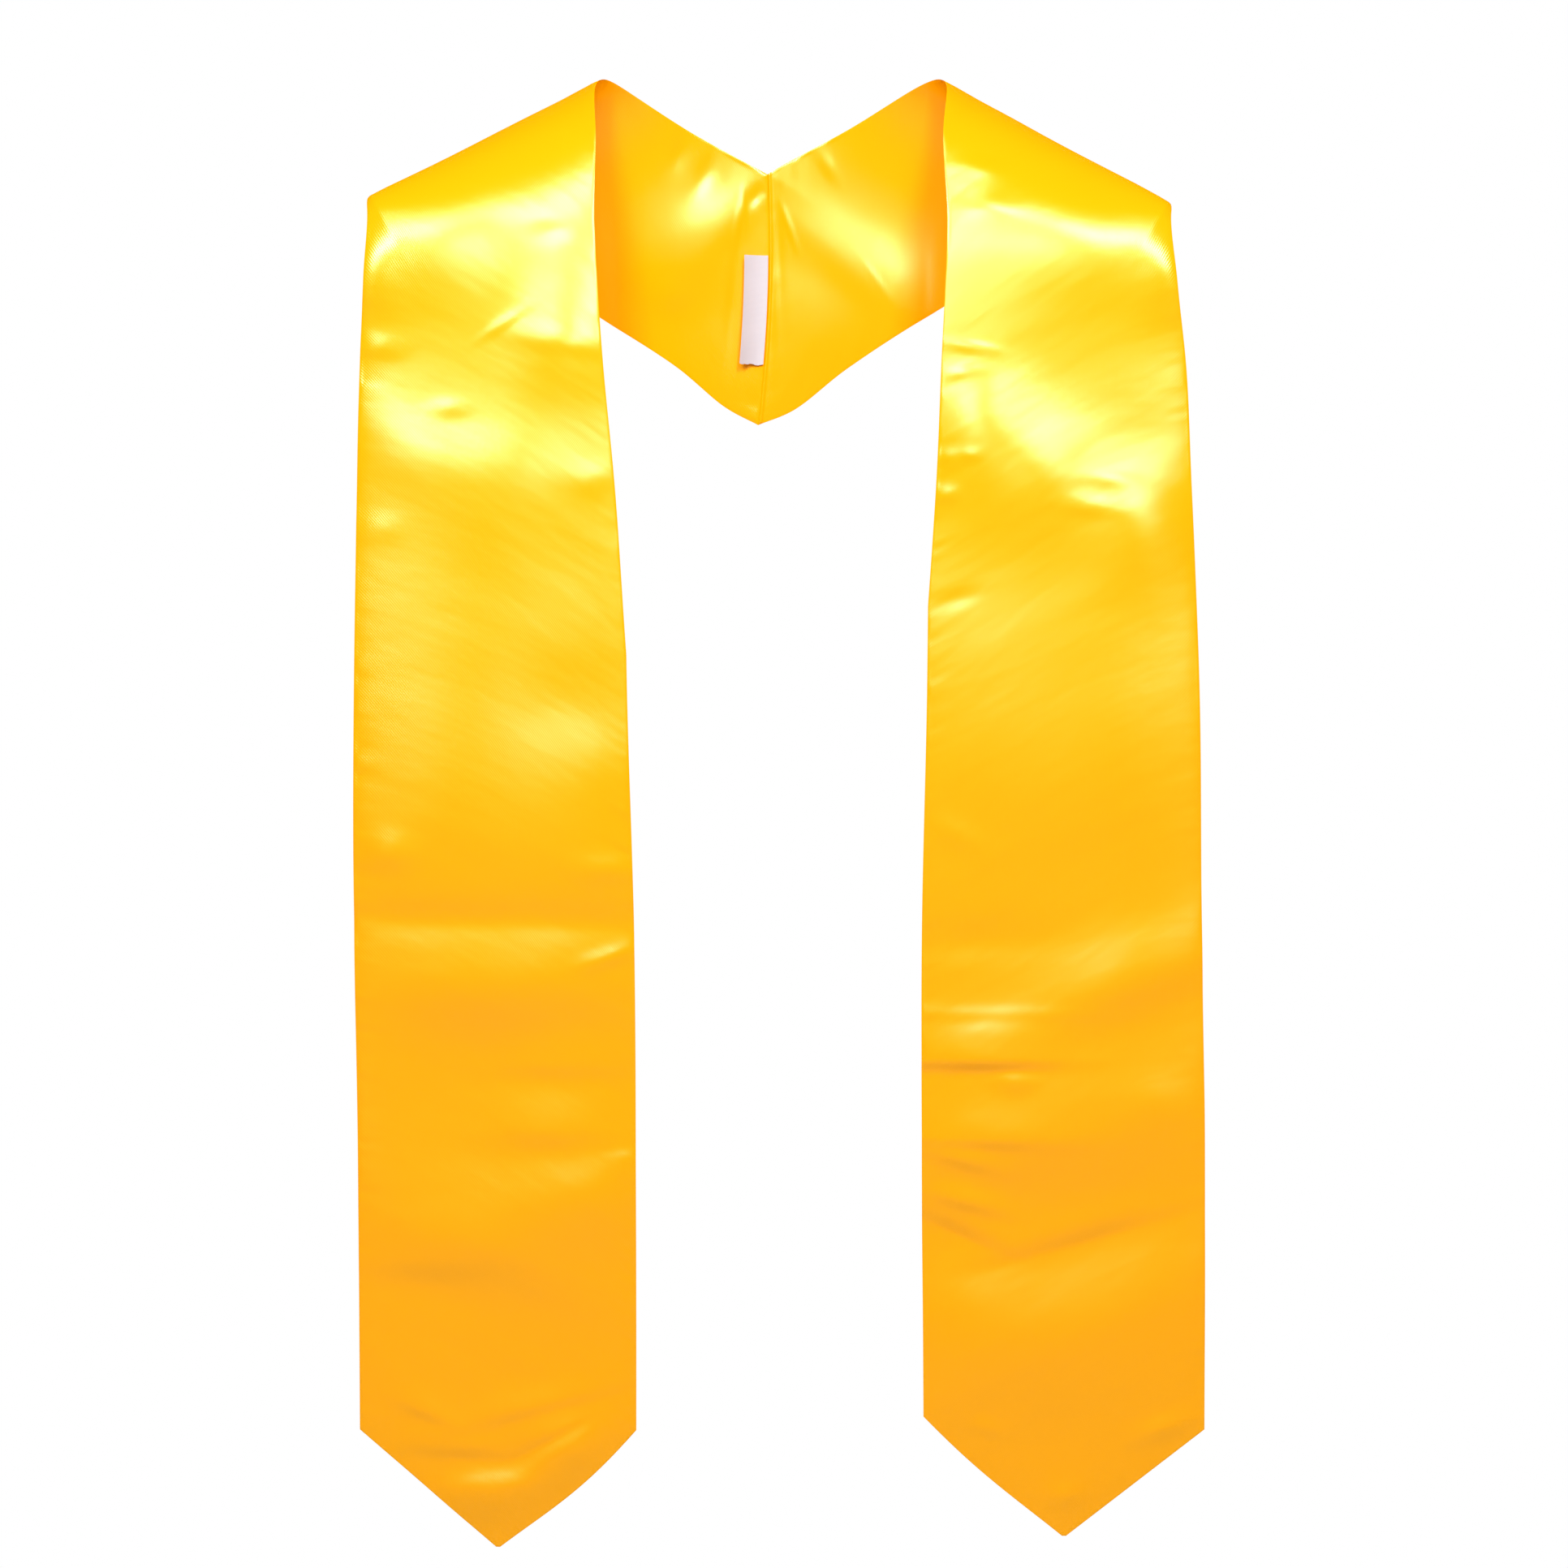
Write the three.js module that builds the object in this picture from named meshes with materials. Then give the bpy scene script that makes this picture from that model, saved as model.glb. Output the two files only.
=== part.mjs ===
import * as THREE from 'three';

// A satin stole in its worn form, held up at the shoulders. Lengths are in millimetres, +Z is up and
// the wearer faces -Y, so the wearer's right half is at -X. The origin is midway between the two neck
// points, where the inner edges cross the shoulder lines.

const NECK_GAP = 160; // between the two neck points
const SHOULDER_LENGTH = 122.9; // of each shoulder line, from the neck point to the outer edge
const SHOULDER_SLOPE = 30; // degrees that the shoulder lines fall
const FRONT_BEND = 35; // radius of the bend over the shoulder at the neck point, at the front
const BACK_BEND = 25; // the same at the back
const TAPER_START = 18; // from the neck point along the shoulder line, where the front bend tightens
const BEND_TAPER = 0.6; // share of the front radius that is lost evenly on the way outward
const END_BEND = 0.5; // share of what is left of it that stays at the outer edge
const BACK_TAPER_START = 60; // where the bend at the back starts to tighten
const BACK_END_BEND = 0.3; // share of its radius that is left at the outer edge
const TURN_START = 0.92; // share of half the neck gap where the back piece starts to turn forward
const TURN_END = 1.17; // share where it has joined the ridge's swing forward
const RIDGE_RISE = 2.1; // of the shoulder line above the neck points
const CHEST_REACH = 17; // how far the chest brings the panels forward
const CHEST_END = 350; // length below the shoulder line where the panels hang plumb
const HEM_SWING = 8; // how far the lower end of the back piece swings forward
const HEM_SWING_WIDTH = 0.2; // share of the neck gap over which it does so in full
const BACK_HOLLOW = 3; // how far the middle of the back piece lies further back

const NECKLINE_DROP = 40; // from the neck points to the V of the neckline
const BACK_DROP = 161.5; // from the neck points to the lowest point of the back piece
const SEAM_TOP_SHIFT = 2; // how far the centre seam is off the middle at the neckline
const SEAM_END_SHIFT = 6.5; // the same at the lowest point of the back piece
const SEAM_BOW = 2.4; // how far the middle of the seam bows toward the wearer's left

const PANEL_DROP = 632; // from the neck points to the corners of the points
const POINT_WIDTH = 127; // of a panel at its lower end
const POINT_DEPTH = 55; // from the corners to the tip
const POINT_BOW = 3.7; // how far the inner edge of a point bulges

const CLOTH = 1; // thickness of one ply
const SEWN_GAP = 0.3; // between plies along the sewn edges, and between the two halves
const PUFF = 1.4; // how much further the plies part inside the edges
const PUFF_FADE = 18; // length over which they come together again at the seam and the point
const SEAM_ROLL_WIDTH = 2.2; // of the raised roll along the centre seam
const SEAM_ROLL_RISE = 0.9;

const LABEL_WIDTH = 11.4;
const LABEL_LENGTH = 53;
const LABEL_DROP = 79.5; // from the neck points to its upper end
const LABEL_THICKNESS = 1;
const LABEL_LIFT = 4.5; // of its free edge

const BOW_LEAN = 0.5; // how much more a point bulges near its corners than near its tip
const TAPER_EASE = 0.15; // how gently the front bend starts to tighten
const TAPER_POWER = 4; // how late it tightens most
const ACROSS_STEPS = 10;
const LABEL_LENGTH_STEPS = 8;
const LABEL_WIDTH_STEPS = 4;
const FINE_STEP = 1e-3; // of the way, for finding the direction of the surface
const SEAM_FADE = 0.2; // of the way, where the bow of the seam has faded out

const SATIN_ROUGHNESS = 0.38;
const LABEL_ROUGHNESS = 0.5;
const satinColour = new THREE.Color('#f7b90f');
const labelColour = new THREE.Color('#ece6ee');

// Lines across the back piece between the centre seam and the shoulder line. way: share of the way
// to the shoulder line; neck and hem: how far those edges bow off a straight line, as shares of
// BACK_DROP, outward from the strip.
const BACK_LINES = {
  right: [
    { steps: 3, way: 0.08, neck: -0.004, hem: 0.007 },
    { steps: 3, way: 0.22, neck: -0.012, hem: -0.02 },
    { steps: 4, way: 0.45, neck: -0.021, hem: -0.024 },
    { steps: 4, way: 0.75, neck: -0.018, hem: -0.015 },
  ],
  left: [
    { steps: 3, way: 0.08, neck: 0, hem: 0.014 },
    { steps: 3, way: 0.22, neck: -0.006, hem: -0.015 },
    { steps: 4, way: 0.45, neck: -0.014, hem: -0.032 },
    { steps: 4, way: 0.75, neck: -0.011, hem: -0.02 },
  ],
};

// Lines across the front panels below the shoulder line. inner and outer: drops of their ends as
// shares of PANEL_DROP; out: the outer end's distance from the middle as a share of the shoulder
// reach; width: share of POINT_WIDTH; point: how much of the point's shape the line has.
const FRONT_LINES = {
  right: [
    { steps: 5, inner: 0.044, outer: 0.111, out: 1.006, width: 0.834, point: 0 },
    { steps: 4, inner: 0.119, outer: 0.158, out: 1.013, width: 0.8445, point: 0 },
    { steps: 5, inner: 0.222, outer: 0.222, out: 1.023, width: 0.8945, point: 0 },
    { steps: 4, inner: 0.316, outer: 0.316, out: 1.0285, width: 0.9475, point: 0 },
    { steps: 5, inner: 0.459, outer: 0.459, out: 1.033, width: 0.9975, point: 0 },
    { steps: 6, inner: 0.633, outer: 0.633, out: 1.0315, width: 1.0215, point: 0 },
    { steps: 5, inner: 0.8, outer: 0.8, out: 1.0225, width: 1.0145, point: 0.12 },
    { steps: 5, inner: 0.915, outer: 0.915, out: 1.0195, width: 1.0115, point: 0.45 },
    { steps: 5, inner: 1.003, outer: 1.0025, out: 1.0175, width: 1.0085, point: 1 },
  ],
  left: [
    { steps: 5, inner: 0.044, outer: 0.114, out: 1.0055, width: 0.833, point: 0 },
    { steps: 4, inner: 0.119, outer: 0.161, out: 1.019, width: 0.8415, point: 0 },
    { steps: 5, inner: 0.222, outer: 0.222, out: 1.042, width: 0.8995, point: 0 },
    { steps: 4, inner: 0.316, outer: 0.316, out: 1.0545, width: 0.9395, point: 0 },
    { steps: 5, inner: 0.459, outer: 0.459, out: 1.071, width: 0.9955, point: 0 },
    { steps: 6, inner: 0.633, outer: 0.633, out: 1.076, width: 1.0215, point: 0 },
    { steps: 5, inner: 0.8, outer: 0.8, out: 1.0835, width: 1.0335, point: 0.12 },
    { steps: 5, inner: 0.915, outer: 0.915, out: 1.0835, width: 1.0295, point: 0.45 },
    { steps: 5, inner: 0.993, outer: 1.0025, out: 1.0825, width: 1.0255, point: 1 },
  ],
};

// The main folds of the panels. drop: share of PANEL_DROP; across: share of the width from the inner
// edge; turn: degrees that the fold falls toward the outer edge; long: its length, above and below:
// its widths, rise: away from the wearer (less than nothing for a dent), all as shares of POINT_WIDTH.
const PANEL_FOLDS = {
  right: [
    { drop: 0.142, across: 0.75, turn: 0, long: 0.31, above: 0.19, below: 0.31, rise: 0.028 },
    { drop: 0.207, across: 0.15, turn: -5, long: 0.22, above: 0.27, below: 0.19, rise: 0.028 },
    { drop: 0.285, across: 0.8, turn: -25, long: 0.24, above: 0.13, below: 0.16, rise: 0.017 },
    { drop: 0.307, across: 0.45, turn: 0, long: 0.31, above: 0.2, below: 0.28, rise: 0.028 },
    { drop: 0.472, across: 0.22, turn: 0, long: 0.24, above: 0.22, below: 0.17, rise: -0.019 },
    { drop: 0.562, across: 0.5, turn: -17, long: 0.71, above: 0.87, below: 0.47, rise: 0.067 },
    { drop: 0.677, across: 0.48, turn: 0, long: 0.43, above: 0.16, below: 0.17, rise: 0.038 },
    { drop: 0.783, across: 0.3, turn: 0, long: 0.24, above: 0.13, below: 0.08, rise: 0.016 },
    { drop: 0.88, across: 0.76, turn: 0, long: 0.24, above: 0.11, below: 0.08, rise: 0.015 },
    { drop: 1.01, across: 0.45, turn: 15, long: 0.3, above: 0.09, below: 0.08, rise: 0.016 },
  ],
  left: [
    { drop: 0.139, across: 0.5, turn: 4, long: 0.47, above: 0.24, below: 0.39, rise: 0.039 },
    { drop: 0.272, across: 0.17, turn: 20, long: 0.19, above: 0.24, below: 0.27, rise: 0.033 },
    { drop: 0.305, across: 0.42, turn: 31, long: 0.2, above: 0.22, below: 0.27, rise: 0.038 },
    { drop: 0.335, across: 0.78, turn: 10, long: 0.24, above: 0.19, below: 0.24, rise: 0.038 },
    { drop: 0.497, across: 0.55, turn: -12, long: 0.71, above: 0.55, below: 0.47, rise: 0.039 },
    { drop: 0.671, across: 0.74, turn: -22, long: 0.39, above: 0.16, below: 0.13, rise: 0.031 },
    { drop: 0.728, across: 0.21, turn: 0, long: 0.27, above: 0.1, below: 0.08, rise: 0.012 },
    { drop: 0.785, across: 0.45, turn: -6, long: 0.55, above: 0.31, below: 0.16, rise: 0.027 },
    { drop: 0.869, across: 0.55, turn: -16, long: 0.35, above: 0.05, below: 0.22, rise: -0.019 },
    { drop: 0.937, across: 0.36, turn: -4, long: 0.39, above: 0.27, below: 0.27, rise: 0.031 },
  ],
};

// side: which way the half lies; slope: share of SHOULDER_SLOPE; bulge: share of POINT_BOW; deep:
// share of POINT_DEPTH.
const HALVES = [
  { name: 'right', side: -1, slope: 0.975, bulge: 1, deep: 1 },
  { name: 'left', side: 1, slope: 1.028, bulge: 0.6, deep: 0.965 },
];

function smooth(from, to, value) {
  const share = Math.min(1, Math.max(0, (value - from) / (to - from)));
  return share * share * (3 - 2 * share);
}

function slopeOf(half) {
  return THREE.MathUtils.degToRad(SHOULDER_SLOPE * half.slope);
}

function shoulderReach(half) {
  return NECK_GAP / 2 + SHOULDER_LENGTH * Math.cos(slopeOf(half));
}

// How far the middle of the cloth is below the neck points where it crosses the shoulder line.
const ridgeDrop = CLOTH + (SEWN_GAP + PUFF / 2) / 2 - RIDGE_RISE;

// How far the centre seam lies to the wearer's left of the middle, and how much of that is its bow.
function seamBow(share) {
  return SEAM_BOW * Math.sin(Math.PI * share);
}

function seamPlace(drop) {
  const share = (drop - NECKLINE_DROP) / (BACK_DROP - NECKLINE_DROP);
  return seamBow(share) - THREE.MathUtils.lerp(SEAM_TOP_SHIFT, SEAM_END_SHIFT, share);
}

// Radius of the bend over the shoulder at a distance along the shoulder line.
function bendAt(along, toFront) {
  if (!toFront) {
    const end = smooth(BACK_TAPER_START, SHOULDER_LENGTH, along);
    return BACK_BEND * THREE.MathUtils.lerp(1, BACK_END_BEND, end);
  }
  const even = (along - TAPER_START) / (SHOULDER_LENGTH - TAPER_START);
  const tapered = THREE.MathUtils.clamp(even, 0, 1);
  const share = (tapered * tapered * (1 + TAPER_EASE)) / (tapered + TAPER_EASE);
  return FRONT_BEND * (1 - BEND_TAPER * share) * (1 - (1 - END_BEND) * share ** TAPER_POWER);
}

// The ridge comes forward as the bend tightens, so that the panels hang in one plane.
function ridgeForward(along) {
  return (FRONT_BEND - bendAt(along, true)) * (Math.PI / 2);
}

// A place seen from the front, as a place on the cloth rolled flat: along the shoulder line from the
// neck point, and over it, forward being positive.
function rolledFlat(half, out, drop, toFront) {
  const slope = slopeOf(half);
  const beyond = out - NECK_GAP / 2;
  const along = beyond * Math.cos(slope) + drop * Math.sin(slope);
  const square = drop * Math.cos(slope) - beyond * Math.sin(slope);
  const below = Math.max(0, square - ridgeDrop);
  const bend = bendAt(along, toFront);
  const arc = bend * Math.acosh(Math.exp(below / bend));
  return new THREE.Vector3(along, toFront ? arc : -arc, 0);
}

function seamEnd(half, drop) {
  return rolledFlat(half, half.side * seamPlace(drop) + SEWN_GAP / 2, drop, false);
}

// A line across the back piece: a share of the way from the seam to the shoulder line.
function backLine(half, row) {
  const neck = seamEnd(half, NECKLINE_DROP).multiplyScalar(1 - row.way);
  const shoulderEnd = new THREE.Vector3(SHOULDER_LENGTH, 0, 0);
  const hem = seamEnd(half, BACK_DROP).lerp(shoulderEnd, row.way);
  const square = shoulderEnd.clone().sub(seamEnd(half, BACK_DROP)).normalize();
  const outward = new THREE.Vector3(square.y, -square.x, 0);
  neck.addScaledVector(outward, -row.neck * BACK_DROP);
  hem.addScaledVector(outward, row.hem * BACK_DROP);
  return { steps: row.steps, inner: neck, outer: hem, point: 0 };
}

function frontLine(half, row) {
  const out = row.out * shoulderReach(half);
  return {
    steps: row.steps,
    inner: rolledFlat(half, out - row.width * POINT_WIDTH, row.inner * PANEL_DROP, true),
    outer: rolledFlat(half, out, row.outer * PANEL_DROP, true),
    point: row.point,
  };
}

// All lines across one half, from the centre seam to the point, with the two edges as curves.
function stripOf(half) {
  const rollWay = SEAM_ROLL_WIDTH / seamEnd(half, NECKLINE_DROP).length();
  const lines = [
    { steps: 0, inner: seamEnd(half, NECKLINE_DROP), outer: seamEnd(half, BACK_DROP), point: 0 },
    backLine(half, { steps: 1, way: rollWay, neck: 0, hem: 0 }),
    ...BACK_LINES[half.name].map((row) => backLine(half, row)),
    backLine(half, { steps: 5, way: 1, neck: 0, hem: 0 }),
    ...FRONT_LINES[half.name].map((row) => frontLine(half, row)),
  ];
  return {
    half,
    lines,
    innerEdge: new THREE.CatmullRomCurve3(lines.map((line) => line.inner)),
    outerEdge: new THREE.CatmullRomCurve3(lines.map((line) => line.outer)),
  };
}

// The shares of the way down the strip at which it has a row of corners.
function rowWays(strip) {
  const last = strip.lines.length - 1;
  const ways = [0];
  for (let line = 1; line <= last; line += 1) {
    const { steps } = strip.lines[line];
    for (let step = 1; step <= steps; step += 1) {
      ways.push((line - 1 + step / steps) / last);
    }
  }
  return ways;
}

function pointShape(half, across) {
  const toTip = Math.min(1, 2 * across);
  const bow = half.bulge * POINT_BOW * Math.sin(Math.PI * toTip) * (1 + BOW_LEAN - toTip);
  return half.deep * POINT_DEPTH * (1 - Math.abs(2 * across - 1)) + bow;
}

function pointShare(strip, way) {
  const last = strip.lines.length - 1;
  const line = Math.min(last - 1, Math.floor(way * last));
  const share = way * last - line;
  return THREE.MathUtils.lerp(strip.lines[line].point, strip.lines[line + 1].point, share);
}

// Height of the folds of a panel at a drop and a share across it.
function foldHeight(strip, drop, across) {
  let height = 0;
  for (const fold of PANEL_FOLDS[strip.half.name]) {
    const turn = THREE.MathUtils.degToRad(fold.turn);
    const sideways = (across - fold.across) * POINT_WIDTH;
    const down = drop - fold.drop * PANEL_DROP;
    const lengthwise = (sideways * Math.cos(turn) + down * Math.sin(turn)) / fold.long;
    const square = down * Math.cos(turn) - sideways * Math.sin(turn);
    const away = Math.hypot(lengthwise, square / (square < 0 ? fold.above : fold.below)) / POINT_WIDTH;
    height += fold.rise * POINT_WIDTH * Math.exp(-away * away);
  }
  return height;
}

// How far the cloth has come forward or back where it has gone an arc's length over the shoulder.
function archDepth(bend, arc) {
  return 2 * bend * Math.atan(Math.tanh(arc / (2 * bend)));
}

function frontDepth(along, arc, below, folds) {
  const bend = bendAt(along, true);
  const chest = CHEST_REACH * Math.sin(Math.min(1, below / CHEST_END) * (Math.PI / 2));
  return archDepth(bend, arc) + ridgeForward(along) + chest + folds * smooth(0, 2 * bend, arc);
}

function backDepth(along, arc, out, drop) {
  const bend = bendAt(along, false);
  const reach = NECK_GAP / 2;
  const aside = smooth(HEM_SWING_WIDTH * reach, reach, Math.abs(out));
  const swing = HEM_SWING * smooth(0, BACK_DROP, drop) * (1 - aside);
  const hollow = BACK_HOLLOW * (1 - Math.min(1, Math.abs(out) / reach));
  const forward = ridgeForward(along) * smooth(TURN_START * reach, TURN_END * reach, out);
  return archDepth(bend, arc) - forward + (hollow - swing) * smooth(0, bend, arc);
}

// A place midway between the two plies, at a share of the way down the strip and across it.
function midPlace(strip, way, across) {
  const slope = slopeOf(strip.half);
  const flat = strip.innerEdge.getPoint(way).lerp(strip.outerEdge.getPoint(way), across);
  const down = pointShare(strip, way) * pointShape(strip.half, across);
  flat.x += down * Math.sin(slope);
  flat.y += down * Math.cos(slope);
  const along = flat.x;
  const toFront = flat.y >= 0;
  const bend = bendAt(along, toFront);
  const arc = Math.abs(flat.y);
  const below = ridgeDrop + bend * Math.log(Math.cosh(arc / bend));
  const nearSeam = 1 - smooth(0, SEAM_FADE, way);
  const bow = strip.half.side * seamBow(across) * nearSeam;
  const out = NECK_GAP / 2 + along * Math.cos(slope) - below * Math.sin(slope) + bow;
  const drop = along * Math.sin(slope) + below * Math.cos(slope);
  const depth = toFront
    ? -frontDepth(along, arc, below, foldHeight(strip, drop, across))
    : backDepth(along, arc, out, drop);
  return new THREE.Vector3(strip.half.side * out, depth, -drop);
}

// The direction away from the wearer, square to the cloth.
function outwardAt(strip, way, across) {
  const wayBefore = Math.max(0, way - FINE_STEP);
  const wayAfter = Math.min(1, way + FINE_STEP);
  const downCloth = midPlace(strip, wayAfter, across).sub(midPlace(strip, wayBefore, across));
  const acrossBefore = Math.max(0, across - FINE_STEP);
  const acrossAfter = Math.min(1, across + FINE_STEP);
  const overCloth = midPlace(strip, way, acrossAfter).sub(midPlace(strip, way, acrossBefore));
  return downCloth.cross(overCloth).normalize().multiplyScalar(strip.half.side);
}

// How far apart the plies are.
function plyGap(strip, way, across) {
  const place = midPlace(strip, way, across);
  const fromSeam = midPlace(strip, 0, across).distanceTo(place);
  const fromPoint = midPlace(strip, 1, across).distanceTo(place);
  const ends = smooth(0, PUFF_FADE, fromSeam) * smooth(0, PUFF_FADE, fromPoint);
  return SEWN_GAP + PUFF * Math.sin(Math.PI * across) * ends;
}

// A closed solid from a grid of corner pairs: rows of { near, far }.
function sheetSolid(rows) {
  const count = rows[0].length;
  const corners = [];
  for (const row of rows) {
    for (const pair of row) {
      corners.push(pair.near, pair.far);
    }
  }
  const near = (row, column) => 2 * (row * count + column);
  const far = (row, column) => near(row, column) + 1;
  const faces = [];
  const quad = (a, b, c, d) => faces.push(a, b, c, a, c, d);
  for (let row = 0; row + 1 < rows.length; row += 1) {
    for (let column = 0; column + 1 < count; column += 1) {
      const next = column + 1;
      quad(far(row, column), far(row + 1, column), far(row + 1, next), far(row, next));
      quad(near(row, column), near(row, next), near(row + 1, next), near(row + 1, column));
    }
    quad(near(row, 0), near(row + 1, 0), far(row + 1, 0), far(row, 0));
    quad(far(row, count - 1), far(row + 1, count - 1), near(row + 1, count - 1), near(row, count - 1));
  }
  const end = rows.length - 1;
  for (let column = 0; column + 1 < count; column += 1) {
    const next = column + 1;
    quad(near(0, column), far(0, column), far(0, next), near(0, next));
    quad(far(end, column), near(end, column), near(end, next), far(end, next));
  }
  const geometry = new THREE.BufferGeometry();
  const places = new Float32Array(corners.flatMap((corner) => corner.toArray()));
  geometry.setAttribute('position', new THREE.BufferAttribute(places, 3));
  geometry.setIndex(faces);
  geometry.computeVertexNormals();
  return geometry;
}

// One ply: the face ply lies outside the middle of the cloth, the lining ply inside it.
function plyRows(strip, layer) {
  const columns = [];
  for (let step = 0; step <= ACROSS_STEPS; step += 1) {
    columns.push(step / ACROSS_STEPS);
  }
  const hasRoll = layer < 0 && strip.half.name === 'left';
  return rowWays(strip).map((way, row) => columns.map((across) => {
    const place = midPlace(strip, way, across);
    const outward = outwardAt(strip, way, across);
    const roll = hasRoll && row < 2 ? SEAM_ROLL_RISE : 0;
    const inside = layer * (plyGap(strip, way, across) / 2);
    const outside = inside + layer * (CLOTH + roll);
    const near = place.clone().addScaledVector(outward, Math.min(inside, outside));
    const far = place.clone().addScaledVector(outward, Math.max(inside, outside));
    return strip.half.side > 0 ? { near, far } : { near: far, far: near };
  }));
}

// The label hangs on the wearer's right of the centre seam and lifts off the lining.
function labelRows(strip) {
  const rows = [];
  for (let row = 0; row <= LABEL_LENGTH_STEPS; row += 1) {
    const drop = LABEL_DROP + (LABEL_LENGTH * row) / LABEL_LENGTH_STEPS;
    const pairs = [];
    for (let column = 0; column <= LABEL_WIDTH_STEPS; column += 1) {
      const share = column / LABEL_WIDTH_STEPS;
      const out = strip.half.side * seamPlace(drop) + SEWN_GAP + share * LABEL_WIDTH;
      const flat = rolledFlat(strip.half, out, drop, false);
      const lining = (SEWN_GAP + PUFF * smooth(0, PUFF_FADE, share * LABEL_WIDTH)) / 2 + CLOTH;
      const lift = LABEL_LIFT * share * share;
      const depth = backDepth(flat.x, Math.abs(flat.y), out, drop) - lining - SEWN_GAP - lift;
      const far = new THREE.Vector3(strip.half.side * out, depth, -drop);
      const near = new THREE.Vector3(far.x, depth - LABEL_THICKNESS, far.z);
      pairs.push({ near, far });
    }
    rows.push(pairs);
  }
  return rows;
}

function clothMesh(name, rows, colour, roughness) {
  const material = new THREE.MeshStandardMaterial({ color: colour.clone(), roughness, metalness: 0 });
  const mesh = new THREE.Mesh(sheetSolid(rows), material);
  mesh.name = name;
  return mesh;
}

const group = new THREE.Group();
group.name = 'graduation_stole';
for (const half of HALVES) {
  const strip = stripOf(half);
  group.add(clothMesh(`${half.name}_face_ply`, plyRows(strip, 1), satinColour, SATIN_ROUGHNESS));
  group.add(clothMesh(`${half.name}_lining_ply`, plyRows(strip, -1), satinColour, SATIN_ROUGHNESS));
  if (half.name === 'right') {
    group.add(clothMesh('neck_label', labelRows(strip), labelColour, LABEL_ROUGHNESS));
  }
}

export default group;
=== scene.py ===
import math

import bpy
import numpy as np
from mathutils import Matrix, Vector


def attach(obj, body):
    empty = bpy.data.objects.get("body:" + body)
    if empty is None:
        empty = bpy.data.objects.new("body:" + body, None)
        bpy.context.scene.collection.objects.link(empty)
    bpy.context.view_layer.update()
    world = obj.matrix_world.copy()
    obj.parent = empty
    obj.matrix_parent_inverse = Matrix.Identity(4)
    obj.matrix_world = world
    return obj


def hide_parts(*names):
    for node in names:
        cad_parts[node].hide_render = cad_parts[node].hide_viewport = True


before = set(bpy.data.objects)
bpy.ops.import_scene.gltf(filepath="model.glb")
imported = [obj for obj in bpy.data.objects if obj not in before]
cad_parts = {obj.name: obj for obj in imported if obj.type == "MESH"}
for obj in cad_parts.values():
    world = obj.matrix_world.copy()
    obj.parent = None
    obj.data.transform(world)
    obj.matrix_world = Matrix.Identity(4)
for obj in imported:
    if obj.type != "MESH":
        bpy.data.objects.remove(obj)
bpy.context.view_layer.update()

# Lengths are in millimetres until the meshes are made. The wearer faces -Y, so the wearer's right
# half of the stole is at -X, on the left of the picture.
stole = {
    "neckGap": 160,  # between the two neck points
    "shoulderLength": 122.9,  # from a neck point to the shoulder end
    "shoulderSlope": 30,  # degrees
    "frontBend": 35,  # size of the bend over the shoulder, before it tightens
    "backBend": 25,
    "taperStart": 18,  # way along the shoulder where the front bend starts to tighten
    "taperEase": 0.15,
    "bendTaper": 0.6,
    "endBend": 0.5,
    "backTaperStart": 60,
    "backEndBend": 0.3,
    "turnStart": 0.92,  # where the back leans forward to the ridge, in halves of the neck gap
    "turnEnd": 1.17,
    "chestReach": 17,  # how far the chest carries the panels forward
    "chestEnd": 350,
    "hemSwing": 8,  # the lower edge of the back piece swings toward the wearer
    "hemSwingWidth": 0.2,
    "backHollow": 3,  # the middle of the back piece stands off the wearer
    "necklineDrop": 40,  # top of the centre-back seam
    "backDrop": 161.5,  # its lower end
    "seamTopShift": 2,  # the seam leans and bows to one side
    "seamEndShift": 6.5,
    "seamBow": 2.4,
    "seamFade": 0.2,
    "seamFlat": 3,  # no folds this near to the seam
    "panelDrop": 632,  # down to where the points begin
    "pointWidth": 127,
    "pointDepth": 55,
    "pointBow": 3.7,
    "pointBowLean": 1.5,
    "ridgeDrop": -1.1,  # the middle of the cloth lies this far over the shoulder line
    "halfSeamGap": -0.04,
}

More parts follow.
